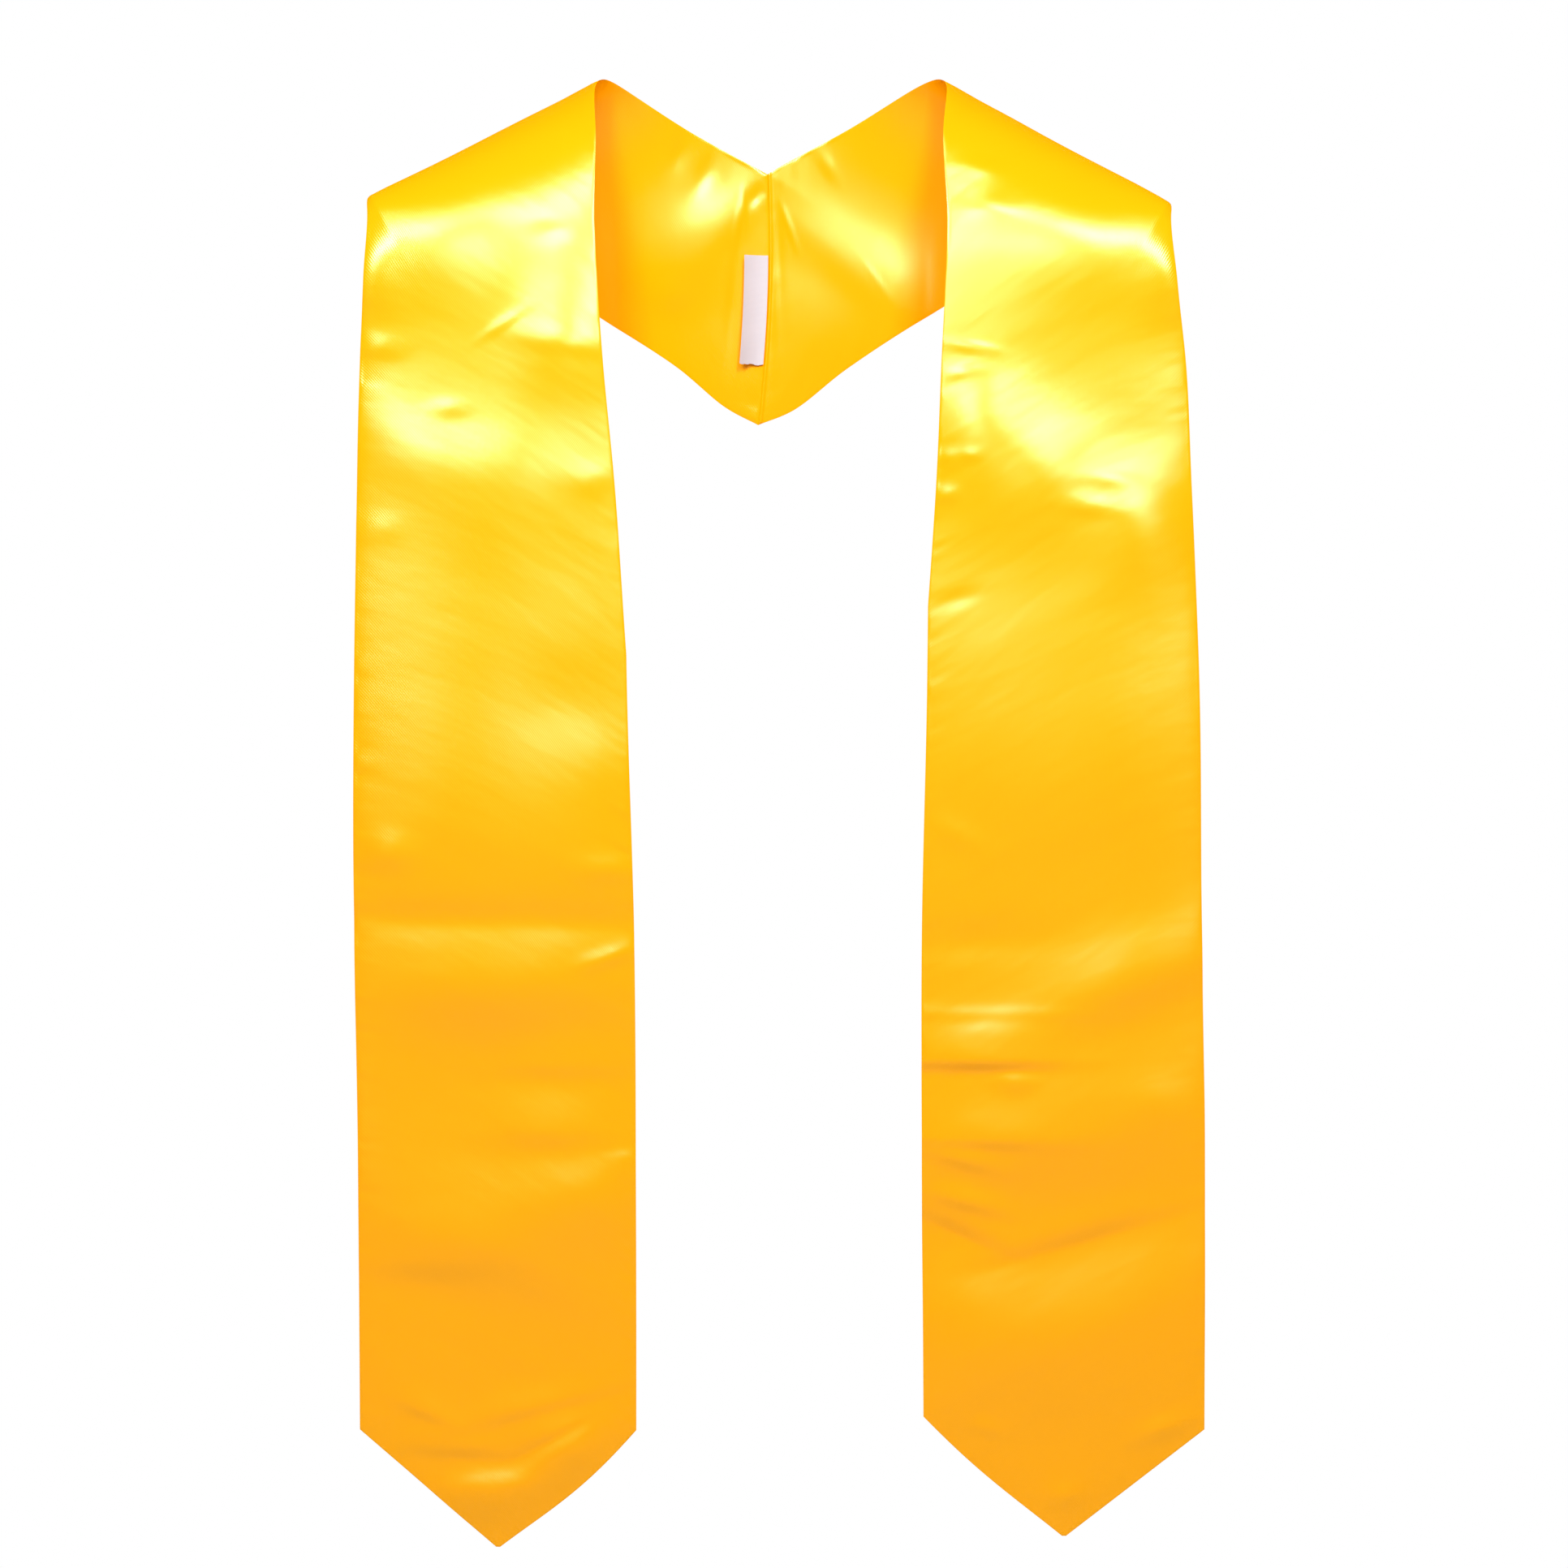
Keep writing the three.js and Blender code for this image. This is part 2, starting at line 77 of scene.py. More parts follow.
# Lines across the strip, in shares of the sizes above. Back: way to the shoulder line, bow of the
# neck edge, bow of the hem. Front: drop of the inner end, drop of the outer end, outer end from
# the middle, width, how much of the point is there.
rightHalf = {
    "side": -1,
    "slope": 0.975,
    "bulge": 1.0,
    "deep": 1.0,
    "back": [
        (0.08, -0.004, 0.007),
        (0.22, -0.012, -0.02),
        (0.45, -0.021, -0.024),
        (0.75, -0.018, -0.015),
    ],
    "front": [
        (0.044, 0.111, 1.006, 0.834, 0),
        (0.119, 0.158, 1.013, 0.8445, 0),
        (0.222, 0.222, 1.023, 0.8945, 0),
        (0.316, 0.316, 1.0285, 0.9475, 0),
        (0.459, 0.459, 1.033, 0.9975, 0),
        (0.633, 0.633, 1.0315, 1.0215, 0),
        (0.8, 0.8, 1.0225, 1.0145, 0.12),
        (0.915, 0.915, 1.0195, 1.0115, 0.45),
        (1.003, 1.0025, 1.0175, 1.0085, 1),
    ],
    # Folds of the panel, away from the wearer: drop, share across from the inner edge, degrees
    # that it falls outward, length, width above, width below, rise.
    "folds": [
        (77, 0.19, 0, 10, 4, 5, -0.5),
        (84, 0.74, 12, 42, 26, 30, 4.0),
        (96, 1.0, 0, 20, 21, 22, 5.0),
        (131, 0.93, 0, 12, 6, 5, 1.0),
        (131, 0.15, -5, 28, 34, 24, 3.6),
        (129, 0.17, -8, 26, 7, 5, 0.8),
        (121, 0.42, 28, 13, 2, 2, 0.35),
        (180, 0.8, -25, 30, 16, 20, 2.2),
        (194, 0.45, 0, 40, 26, 36, 3.6),
        (160, 0.66, 0, 9, 4, 4, 0.5),
        (193, 0.1, 0, 14, 7, 8, 0.8),
        (215, 0.93, 0, 14, 7, 8, 0.8),
        (298, 0.22, 0, 30, 28, 22, -2.4),
        (355, 0.5, -17, 90, 110, 60, 8.5),
        (366, 0.87, 0, 12, 10, 8, 1.36),
        (374, 0.08, 0, 14, 7, 6, 1.02),
        (398, 0.5, -1, 120, 9, 8, -1.3),
        (428, 0.48, 0, 55, 20, 22, 4.8),
        (415, 0.1, 18, 12, 4, 4, 1.02),
        (464, 0.27, 0, 30, 14, 6, 1.2),
        (494, 0.3, 0, 28, 18, 9, 2.4),
        (508, 0.04, 0, 8, 3.5, 8, 0.6),
        (524, 0.18, 15, 40, 20, 24, 3.6),
        (545, 0.55, -20, 60, 40, 20, 3.6),
        (555, 0.76, 0, 30, 18, 8, 1.5),
        (625, 0.76, -24, 12, 8, 3, 1.02),
        (624, 0.4, 15, 36, 8, 3, 1.02),
        (642, 0.64, -2, 20, 10, 3, 1.36),
        (635, 0.32, 26, 18, 10, 3, 1.36),
        (661, 0.52, 4, 22, 8, 14, 3.2),
        (644, 0.26, 35, 22, 8, 12, 3.0),
    ],
    # Folds of the back piece, toward the wearer: the same columns, with the share from the middle
    # of the neck to the neck point.
    "backFolds": [
        (66, 0.31, 50, 22, 16, 10, 1.8),
        (82, 0.58, 6, 26, 34, 20, 3.6),
        (99, 0.6, 0, 10, 8, 8, 0.8),
        (31, 0.56, 75, 8, 4, 4, -0.8),
        (40, 0.4, 68, 10, 4, 4, -0.8),
        (62, 0.2, 80, 11, 1.5, 1.5, 0.5),
        (58, 0.17, 95, 8, 1.2, 1.2, 0.4),
        (51, 0.1, 60, 5, 3, 3, -0.8),
        (105, 0.24, 85, 26, 3, 3, -0.9),
    ],
}
leftHalf = {
    "side": 1,
    "slope": 1.028,
    "bulge": 0.6,
    "deep": 0.965,
    "back": [
        (0.08, 0, 0.014),
        (0.22, -0.006, -0.015),
        (0.45, -0.014, -0.032),
        (0.75, -0.011, -0.02),
    ],
    "front": [
        (0.044, 0.114, 1.0055, 0.833, 0),
        (0.119, 0.161, 1.019, 0.8415, 0),
        (0.222, 0.222, 1.042, 0.8995, 0),
        (0.316, 0.316, 1.0545, 0.9395, 0),
        (0.459, 0.459, 1.071, 0.9955, 0),
        (0.633, 0.633, 1.076, 1.0215, 0),
        (0.8, 0.8, 1.0835, 1.0335, 0.12),
        (0.915, 0.915, 1.0835, 1.0295, 0.45),
        (0.993, 1.0025, 1.0825, 1.0255, 1),
    ],
    "folds": [
        (46, 0.17, 4, 13, 4, 5, 0.8),
        (66, 0.2, 0, 14, 6, 5, 0.8),
        (80, 0.58, 9, 54, 26, 32, 5.4),
        (97, 1.0, 0, 22, 21, 22, 5.0),
        (131, 0.12, 8, 13, 2.5, 3, 0.7),
        (143, 0.1, -10, 9, 2.5, 3, 0.6),
        (172, 0.17, 20, 24, 30, 34, 4.2),
        (193, 0.42, 31, 26, 28, 34, 4.8),
        (212, 0.78, 10, 30, 24, 30, 4.8),
        (206, 0.6, 8, 14, 5, 4, 0.7),
        (193, 0.7, 6, 12, 4, 4, 0.5),
        (182, 0.14, 0, 6, 3, 3, 0.5),
        (183, 0.04, 0, 7, 4, 4, 0.6),
        (200, 0.04, 0, 7, 4, 4, 0.6),
        (249, 0.1, -14, 12, 4, 4, -0.55),
        (314, 0.55, -12, 90, 70, 60, 5.0),
        (358, 0.12, 30, 14, 6, 6, 0.5),
        (408, 0.2, -2, 30, 10, 9, -0.9),
        (424, 0.74, -22, 50, 20, 16, 4.0),
        (441, 0.25, 0, 44, 3, 3, 0.3),
        (449, 0.27, 0, 16, 6, 6, 0.4),
        (462, 0.2, 0, 34, 18, 4, 3.2),
        (472, 0.33, 0, 9, 4, 5, 1.02),
        (482, 0.84, 0, 20, 12, 12, 1.2),
        (496, 0.45, -6, 70, 44, 24, 5.0),
        (499, 0.2, 2, 34, 12, 3.5, 1.53),
        (508, 0.14, 16, 18, 6, 3.5, 1.19),
        (528, 0.16, 15, 18, 6, 3.5, 1.36),
        (544, 0.12, 25, 24, 5, 24, -2.2),
        (549, 0.55, -16, 45, 6, 28, -2.4),
        (592, 0.36, -4, 50, 34, 34, 4.0),
        (566, 0.8, -20, 40, 24, 30, 2.4),
        (633, 0.22, 12, 8, 4, 2.5, 0.59),
        (633, 0.85, -20, 14, 5, 5, 1.02),
        (664, 0.5, 0, 8, 5, 5, 0.85),
    ],
    "backFolds": [
        (84, 0.5, 40, 38, 22, 12, 2.4),
        (108, 0.4, 10, 40, 24, 30, 1.2),
        (120, 0.84, 0, 24, 42, 30, 6.0),
        (36, 0.34, 62, 8, 3, 3, 0.6),
        (93, 0.64, 55, 12, 1, 1, 0.35),
        (66, 0.11, 70, 11, 1.2, 1.2, 0.5),
        (75, 0.04, 88, 32, 2.5, 2, -0.6),
    ],
}
halves = {"right": rightHalf, "left": leftHalf}


def smooth(start, end, value):
    share = np.clip((value - start) / (end - start), 0, 1)
    return share * share * (3 - 2 * share)


def slopeOf(half):
    return math.radians(stole["shoulderSlope"] * half["slope"])


# How wide the bend over the shoulder is: it tightens toward the shoulder end.
def bendAt(along, toFront):
    length = stole["shoulderLength"]
    share = np.clip((along - stole["taperStart"]) / (length - stole["taperStart"]), 0, 1)
    share = share**2 * (1 + stole["taperEase"]) / (share + stole["taperEase"])
    front = (1 - stole["bendTaper"] * share) * (1 - (1 - stole["endBend"]) * share**4)
    back = 1 - (1 - stole["backEndBend"]) * smooth(stole["backTaperStart"], length, along)
    return np.where(toFront, stole["frontBend"] * front, stole["backBend"] * back)


def seamBow(share):
    return stole["seamBow"] * np.sin(np.pi * np.clip(share, 0, 1))


# Where the centre-back seam lies, across the wearer.
def seamPlace(drop):
    share = (drop - stole["necklineDrop"]) / (stole["backDrop"] - stole["necklineDrop"])
    lean = stole["seamTopShift"] + (stole["seamEndShift"] - stole["seamTopShift"]) * share
    return seamBow(share) - lean


# A place seen from the front, as a place on the cloth rolled flat: along and over the shoulder.
def rolledFlat(half, out, drop, toFront):
    slope = slopeOf(half)
    beyond = out - stole["neckGap"] / 2
    along = beyond * math.cos(slope) + drop * math.sin(slope)
    square = drop * math.cos(slope) - beyond * math.sin(slope)
    below = np.maximum(0, square - stole["ridgeDrop"])
    bend = bendAt(along, toFront)
    arc = bend * np.arccosh(np.exp(below / bend))
    return np.array([along, arc if toFront else -arc])


# A line across the strip behind the neck: inner end, outer end, no point.
def backLine(half, way, neckBow, hemBow):
    side = half["side"]
    neck, hem = (
        rolledFlat(half, side * seamPlace(drop) + stole["halfSeamGap"], drop, False)
        for drop in (stole["necklineDrop"], stole["backDrop"])
    )
    shoulderEnd = np.array([stole["shoulderLength"], 0.0])
    square = (shoulderEnd - hem) / np.linalg.norm(shoulderEnd - hem)
    outward = np.array([square[1], -square[0]]) * stole["backDrop"]
    return (
        neck * (1 - way) - outward * neckBow,
        hem + (shoulderEnd - hem) * way + outward * hemBow,
        0.0,
    )


# The same for the panel in front.
def frontLine(half, inner, outer, out, width, point):
    reach = stole["neckGap"] / 2 + stole["shoulderLength"] * math.cos(slopeOf(half))
    outerOut = out * reach
    innerOut = outerOut - width * stole["pointWidth"]
    return (
        rolledFlat(half, innerOut, inner * stole["panelDrop"], True),
        rolledFlat(half, outerOut, outer * stole["panelDrop"], True),
        point,
    )


def stripLines(half):
    lines = [backLine(half, 0, 0, 0)]
    lines += [backLine(half, *row) for row in half["back"]]
    lines += [backLine(half, 1, 0, 0)]
    lines += [frontLine(half, *row) for row in half["front"]]
    return [np.array(column) for column in zip(*lines)]


# A smooth curve through points, at shares of the way along it.
def curveAt(points, ways):
    last = len(points) - 1
    spot = np.clip(ways, 0, 1) * last
    piece = np.minimum(spot.astype(int), last - 1)
    share = (spot - piece)[:, None]
    ends = [2 * points[0] - points[1]], [2 * points[-1] - points[-2]]
    longer = np.vstack([ends[0], points, ends[1]])
    before, start, end, after = (longer[piece + step] for step in range(4))

    def knot(first, second):
        return np.maximum(((second - first) ** 2).sum(axis=1, keepdims=True) ** 0.25, 1e-6)

    one, two, three = knot(before, start), knot(start, end), knot(end, after)
    leaving = (start - before) / one - (end - before) / (one + two) + (end - start) / two
    arriving = (end - start) / two - (after - start) / (two + three) + (after - end) / three
    leaving, arriving = leaving * two, arriving * two
    return (
        start
        + leaving * share
        + (3 * (end - start) - 2 * leaving - arriving) * share**2
        + (2 * (start - end) + leaving + arriving) * share**3
    )


def pointShape(half, across):
    toTip = np.minimum(1, 2 * across)
    bow = half["bulge"] * stole["pointBow"] * np.sin(np.pi * toTip)
    bow = bow * (stole["pointBowLean"] - toTip)
    return half["deep"] * stole["pointDepth"] * (1 - np.abs(2 * across - 1)) + bow


# The folds of a table laid over each other, each a smooth ridge with its own two flanks.
def foldHeight(rows, drop, share, reach):
    height = np.zeros_like(drop)
    for foldDrop, foldShare, turn, long, above, below, rise in rows:
        sideways = (share - foldShare) * reach
        down = drop - foldDrop
        cosTurn, sinTurn = math.cos(math.radians(turn)), math.sin(math.radians(turn))
        lengthwise = (sideways * cosTurn + down * sinTurn) / long
        square = down * cosTurn - sideways * sinTurn
        square = square / np.where(square < 0, above, below)
        height += rise * np.exp(-(lengthwise**2) - square**2)
    return height


rippleLength = 4096
rippleSide = 256


# Even random ups and downs from -1 to 1, the same ones each time, along a line.
def ripple(place, seed):
    values = np.random.default_rng(seed).uniform(-1, 1, rippleLength)
    cell = np.floor(place).astype(int)
    share = place - cell
    share = share * share * (3 - 2 * share)
    start, end = values[cell % rippleLength], values[(cell + 1) % rippleLength]
    return start * (1 - share) + end * share


# The same over a surface.
def rippleField(first, second, seed):
    values = np.random.default_rng(seed).uniform(-1, 1, (rippleSide, rippleSide))
    cellA, cellB = np.floor(first).astype(int), np.floor(second).astype(int)
    shareA, shareB = first - cellA, second - cellB
    shareA, shareB = (part * part * (3 - 2 * part) for part in (shareA, shareB))

    def at(stepA, stepB):
        return values[(cellA + stepA) % rippleSide, (cellB + stepB) % rippleSide]

    low = at(0, 0) * (1 - shareA) + at(1, 0) * shareA
    high = at(0, 1) * (1 - shareA) + at(1, 1) * shareA
    return low * (1 - shareB) + high * shareB


# How far the bend has gone forward or back after an arc's length of cloth.
def archDepth(bend, arc):
    return 2 * bend * np.arctan(np.tanh(arc / (2 * bend)))


# How far it has gone down below the shoulder line by then.
def archFall(bend, arc):
    # log cosh, written so that long arcs don't overflow
    ratio = arc / bend
    return bend * (ratio + np.log1p(np.exp(-2 * ratio)) - math.log(2))


# The ridge comes forward as the bend tightens, so that the panels hang in one plane.
def ridgeForward(along):
    return (stole["frontBend"] - bendAt(along, True)) * math.pi / 2


def frontDepth(half, along, arc, below, drop, share):
    bend = bendAt(along, True)
    chest = stole["chestReach"] * np.sin(np.minimum(1, below / stole["chestEnd"]) * math.pi / 2)
    folds = foldHeight(half["folds"], drop, share, stole["pointWidth"]) * smooth(0, 2 * bend, arc)
    return archDepth(bend, arc) + ridgeForward(along) + chest + folds


def backDepth(half, along, arc, out, drop):
    bend = bendAt(along, False)
    reach = stole["neckGap"] / 2
    turning = smooth(stole["turnStart"] * reach, stole["turnEnd"] * reach, out)
    forward = ridgeForward(along) * turning
    swing = stole["hemSwing"] * smooth(0, stole["backDrop"], drop)
    swing *= 1 - smooth(stole["hemSwingWidth"] * reach, reach, np.abs(out))
    middle = 1 - np.minimum(1, np.abs(out) / reach)
    folds = foldHeight(half["backFolds"], drop, out / reach, reach)
    folds = folds * smooth(0, stole["seamFlat"], out)
    away = stole["backHollow"] * middle - swing - folds
    return archDepth(bend, arc) - forward + away * smooth(0, bend, arc)


# The middle of the cloth on a grid of ways down the strip and shares across it.
def middleSheet(half, ways, across):
    innerPoints, outerPoints, points = stripLines(half)
    slope = slopeOf(half)
    inner = curveAt(innerPoints, ways)[:, None, :]
    outer = curveAt(outerPoints, ways)[:, None, :]
    share = across[None, :]
    flat = inner + (outer - inner) * share[:, :, None]
    point = np.interp(ways * (len(points) - 1), np.arange(len(points)), points)
    down = point[:, None] * pointShape(half, share)
    along = flat[:, :, 0] + down * math.sin(slope)
    over = flat[:, :, 1] + down * math.cos(slope)
    toFront = over >= 0
    bend = bendAt(along, toFront)
    arc = np.abs(over)
    below = stole["ridgeDrop"] + archFall(bend, arc)
    nearSeam = 1 - smooth(0, stole["seamFade"], ways)[:, None]
    bow = half["side"] * seamBow(share) * nearSeam
    out = stole["neckGap"] / 2 + along * math.cos(slope) - below * math.sin(slope) + bow
    drop = along * math.sin(slope) + below * math.cos(slope)
    front = frontDepth(half, along, arc, below, drop, share + np.zeros_like(drop))
    depth = np.where(toFront, -front, backDepth(half, along, arc, out, drop))
    return np.stack([half["side"] * out, depth, -drop], axis=2)


def gridNormals(place, side):
    downCloth = np.gradient(place, axis=0)
    overCloth = np.gradient(place, axis=1)
    normal = np.cross(downCloth, overCloth) * side
    return normal / np.linalg.norm(normal, axis=2, keepdims=True)


# Lengths of cloth from the first row or column of a grid of places.
def lengthsAlong(place, axis):
    steps = np.linalg.norm(np.diff(place, axis=axis), axis=2)
    zero = np.zeros_like(np.take(steps, [0], axis=axis))
    return np.concatenate([zero, np.cumsum(steps, axis=axis)], axis=axis)


# Rows and columns are those of the mesh; the edge rows are close to both ends of the strip.
# Puckers are the small cross wrinkles beside the seams, waves the soft ones all over.
plyLook = {
    "rows": 620,
    "columns": 92,
    "evenShare": 0.45,
    "edgeRows": (0.25, 0.6, 1.05, 1.6, 2.2),
    "guesses": 1500,
    "edgeRadius": 0.7,
    "edgeRise": 0.12,
    "sewnWidth": 2,
    "pointSlant": 0.8,
    "puff": 0.9,
    "puffReach": 12,
    "puckerLong": 7.5,
    "puckerReach": 9,
    "puckerRise": 0.22,
    "smallPuckerSize": 0.43,
    "smallPuckerShare": 0.6,
    "patchLong": 55,
    "patchStart": -0.2,
    "patchFull": 0.7,
    "calmShare": 0.35,
    "wavesRise": 0.35,
    "wavesLong": 42,
    "wavesStretch": 1.7,
    "wavesFade": 25,
    "rollWidth": 2.4,
    "rollRise": 0.8,
    "rollFade": 1,
    "flat": (0.13, 0.86),
}


# Ways down the strip that are evenly spaced on the cloth, closer at both ends.
def evenWays(half, count):
    guess = np.linspace(0, 1, plyLook["guesses"])
    place = middleSheet(half, guess, np.array([0.25, 0.75]))
    length = lengthsAlong(place, 0).mean(axis=1)
    inside = np.linspace(0, length[-1], count)
    edge = np.array(plyLook["edgeRows"])
    targets = np.unique(np.concatenate([inside, edge, length[-1] - edge]))
    return np.interp(targets, length, guess)


# Shares across the strip, closer at both edges.
def edgeSpaced(count):
    even = np.linspace(0, 1, count)
    crowded = 0.5 - 0.5 * np.cos(np.pi * even)
    return plyLook["evenShare"] * even + (1 - plyLook["evenShare"]) * crowded


# A sheet of quads through a grid of places, with its place on the flat cloth for the finish.
def makeMesh(name, place, flatPlace, faceOut, material):
    rows, columns = place.shape[:2]
    number = np.arange(rows * columns).reshape(rows, columns)
    quads = np.stack(
        [number[:-1, :-1], number[1:, :-1], number[1:, 1:], number[:-1, 1:]], axis=2
    ).reshape(-1, 4)
    if not faceOut:
        quads = quads[:, ::-1]
    mesh = bpy.data.meshes.new(name)
    mesh.from_pydata((place.reshape(-1, 3) / 1000).tolist(), [], quads.tolist())
    layer = mesh.uv_layers.new(name="cloth")
    loops = np.empty(len(mesh.loops), dtype=np.int32)
    mesh.loops.foreach_get("vertex_index", loops)
    corners = flatPlace.reshape(-1, 2)[loops] / 1000
    layer.data.foreach_set("uv", corners.astype(np.float32).ravel())
    mesh.polygons.foreach_set("use_smooth", np.ones(len(mesh.polygons), dtype=bool))
    mesh.materials.append(material)
    mesh.update()
    piece = bpy.data.objects.new(name, mesh)
    bpy.context.scene.collection.objects.link(piece)
    return piece


# How far a ply stands off the middle of the cloth: nothing at the sewn edges, full inside them.
def plyRise(fromEdge, look):
    turned = np.clip(fromEdge / look["edgeRadius"], 0, 1)
    turnedRise = look["edgeRise"] * np.sqrt(1 - (1 - turned) ** 2)
    return turnedRise + look["puff"] * (1 - np.exp(-fromEdge / look["puffReach"]))


# Small cross wrinkles that the seams draw into the cloth beside them.
def puckers(alongCloth, fromEdge, look, seed):
    small = ripple(alongCloth / (look["puckerLong"] * look["smallPuckerSize"]), seed + 1)
    size = ripple(alongCloth / look["puckerLong"], seed) + look["smallPuckerShare"] * small
    patch = ripple(alongCloth / look["patchLong"], seed + 2)
    patch = smooth(look["patchStart"], look["patchFull"], patch)
    patches = look["calmShare"] + (1 - look["calmShare"]) * patch
    fade = np.exp(-((fromEdge / look["puckerReach"]) ** 2))
    return look["puckerRise"] * size * patches * fade


# A ply on the outer side of the cloth's middle (layer 1) or on the inner side (layer -1).
def makePly(half, name, layer, material, seed):
    ways = evenWays(half, plyLook["rows"])
    across = edgeSpaced(plyLook["columns"])
    place = middleSheet(half, ways, across)
    normal = gridNormals(place, half["side"])
    overCloth = lengthsAlong(place, 1)
    downCloth = lengthsAlong(place, 0)
    fromInner, fromOuter = overCloth, overCloth[:, -1:] - overCloth
    fromSeam, fromPoint = downCloth, (downCloth[-1:] - downCloth) * plyLook["pointSlant"]
    fromEdge = np.minimum(np.minimum(fromInner, fromOuter), np.minimum(fromSeam, fromPoint))
    rise = plyRise(fromEdge, plyLook)
    inside = smooth(0, plyLook["sewnWidth"], fromEdge)
    seams = [(downCloth, fromInner), (downCloth, fromOuter), (overCloth, fromSeam)]
    for number, (alongSeam, fromIt) in enumerate(seams):
        rise += puckers(alongSeam, fromIt, plyLook, seed + 10 * number) * inside
    wavesAcross = overCloth / (plyLook["wavesStretch"] * plyLook["wavesLong"])
    waves = rippleField(downCloth / plyLook["wavesLong"], wavesAcross, seed + 30)
    rise += plyLook["wavesRise"] * waves * smooth(0, plyLook["wavesFade"], fromEdge)
    if layer < 0 and half["side"] > 0:  # the raised roll at the centre seam
        rolled = np.clip(1 - fromSeam / plyLook["rollWidth"], 0, 1)
        fade = smooth(0, plyLook["rollFade"], fromOuter)
        rise += plyLook["rollRise"] * np.sin(np.pi * rolled) * fade
    place = place + normal * (layer * rise)[:, :, None]
    flatPlace = np.stack([overCloth, downCloth], axis=2)
    piece = makeMesh(name, place, flatPlace, (half["side"] > 0) == (layer > 0), material)
    print("made", name, "with", len(piece.data.polygons), "quads")
    return piece


# Satin: a saturated body under a yellow sheen and a fainter white glint, both spread across the
# threads. Lengths here are in metres.
satin = {
    "colour": (0.95, 0.38, 0),
    "sheen": (1.0, 0.82, 0.13),
    "sheenShare": 0.082,
    "sheenRoughness": 0.38,
    "glint": (1.0, 1.0, 1.0),
    "glintShare": 0.05,
    "glintRoughness": 0.3,
    "spread": 0.4,
    "crumpleSize": 30,
    "crumpleDetail": 3,
    "crumpleStretch": (0.45, 1.0, 1.0),
    "crumpleDepth": 0.0007,
    "twillPeriod": 0.0011,
    "twillDepth": 0.000018,
    "twillWander": 0.4,
    "grainSize": 420,
    "grainDepth": 0.00002,
}


def link(tree, source, output, target, socket):
    tree.links.new(source.outputs[output], target.inputs[socket])


# A layer of fine relief, laid over the one under it.
def addBump(tree, texture, depth, under=None):
    bump = tree.nodes.new("ShaderNodeBump")
    bump.inputs["Distance"].default_value = depth
    link(tree, texture, "Fac", bump, "Height")
    if under:
        link(tree, under, "Normal", bump, "Normal")
    return bump


def satinMaterial(name, look):
    material = bpy.data.materials.new(name)
    material.use_nodes = True
    tree = material.node_tree
    shader = tree.nodes["Principled BSDF"]
    shader.inputs["Base Color"].default_value = (*look["colour"], 1)
    shader.inputs["Roughness"].default_value = look["sheenRoughness"]
    shader.inputs["Specular IOR Level"].default_value = 0
    place = tree.nodes.new("ShaderNodeUVMap")
    place.uv_map = "cloth"
    across = tree.nodes.new("ShaderNodeTangent")
    across.direction_type = "UV_MAP"
    across.uv_map = "cloth"
    stretch = tree.nodes.new("ShaderNodeMapping")
    stretch.inputs["Scale"].default_value = look["crumpleStretch"]
    crumple = tree.nodes.new("ShaderNodeTexNoise")
    crumple.inputs["Scale"].default_value = look["crumpleSize"]
    crumple.inputs["Detail"].default_value = look["crumpleDetail"]
    twill = tree.nodes.new("ShaderNodeTexWave")
    twill.bands_direction = "DIAGONAL"
    twill.inputs["Scale"].default_value = math.pi / (5 * math.sqrt(2) * look["twillPeriod"])
    twill.inputs["Distortion"].default_value = look["twillWander"]
    grain = tree.nodes.new("ShaderNodeTexNoise")
    grain.inputs["Scale"].default_value = look["grainSize"]
    link(tree, place, "UV", stretch, "Vector")
    link(tree, stretch, "Vector", crumple, "Vector")
    link(tree, place, "UV", twill, "Vector")
    link(tree, place, "UV", grain, "Vector")
    relief = addBump(tree, crumple, look["crumpleDepth"])
    relief = addBump(tree, twill, look["twillDepth"], relief)
    relief = addBump(tree, grain, look["grainDepth"], relief)
    link(tree, relief, "Normal", shader, "Normal")
    cloth = shader
    for lobe in ("sheen", "glint"):
        gloss = tree.nodes.new("ShaderNodeBsdfAnisotropic")
        gloss.distribution = "BECKMANN"
        gloss.inputs["Color"].default_value = (*look[lobe], 1)
        gloss.inputs["Roughness"].default_value = look[lobe + "Roughness"]
        gloss.inputs["Anisotropy"].default_value = look["spread"]
        link(tree, relief, "Normal", gloss, "Normal")
        link(tree, across, "Tangent", gloss, "Tangent")
        mix = tree.nodes.new("ShaderNodeMixShader")
        mix.inputs["Fac"].default_value = look[lobe + "Share"]
        tree.links.new(cloth.outputs[0], mix.inputs[1])
        tree.links.new(gloss.outputs[0], mix.inputs[2])
        cloth = mix
    link(tree, cloth, "Shader", tree.nodes["Material Output"], "Surface")
    return material


satinCloth = satinMaterial("goldenSatin", satin)
plies = [
    ("rightFacePly", "right_face_ply", "right", 1, "satin_face", 3),
    ("leftFacePly", "left_face_ply", "left", 1, "satin_face", 103),
    ("rightLiningPly", "right_lining_ply", "right", -1, "satin_lining", 203),
    ("leftLiningPly", "left_lining_ply", "left", -1, "satin_lining", 303),
]
for name, node, half, layer, slotName, seed in plies:
    ply = makePly(halves[half], name, layer, satinCloth, seed)
    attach(ply, "root")
    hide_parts(node)
print("plies are done")

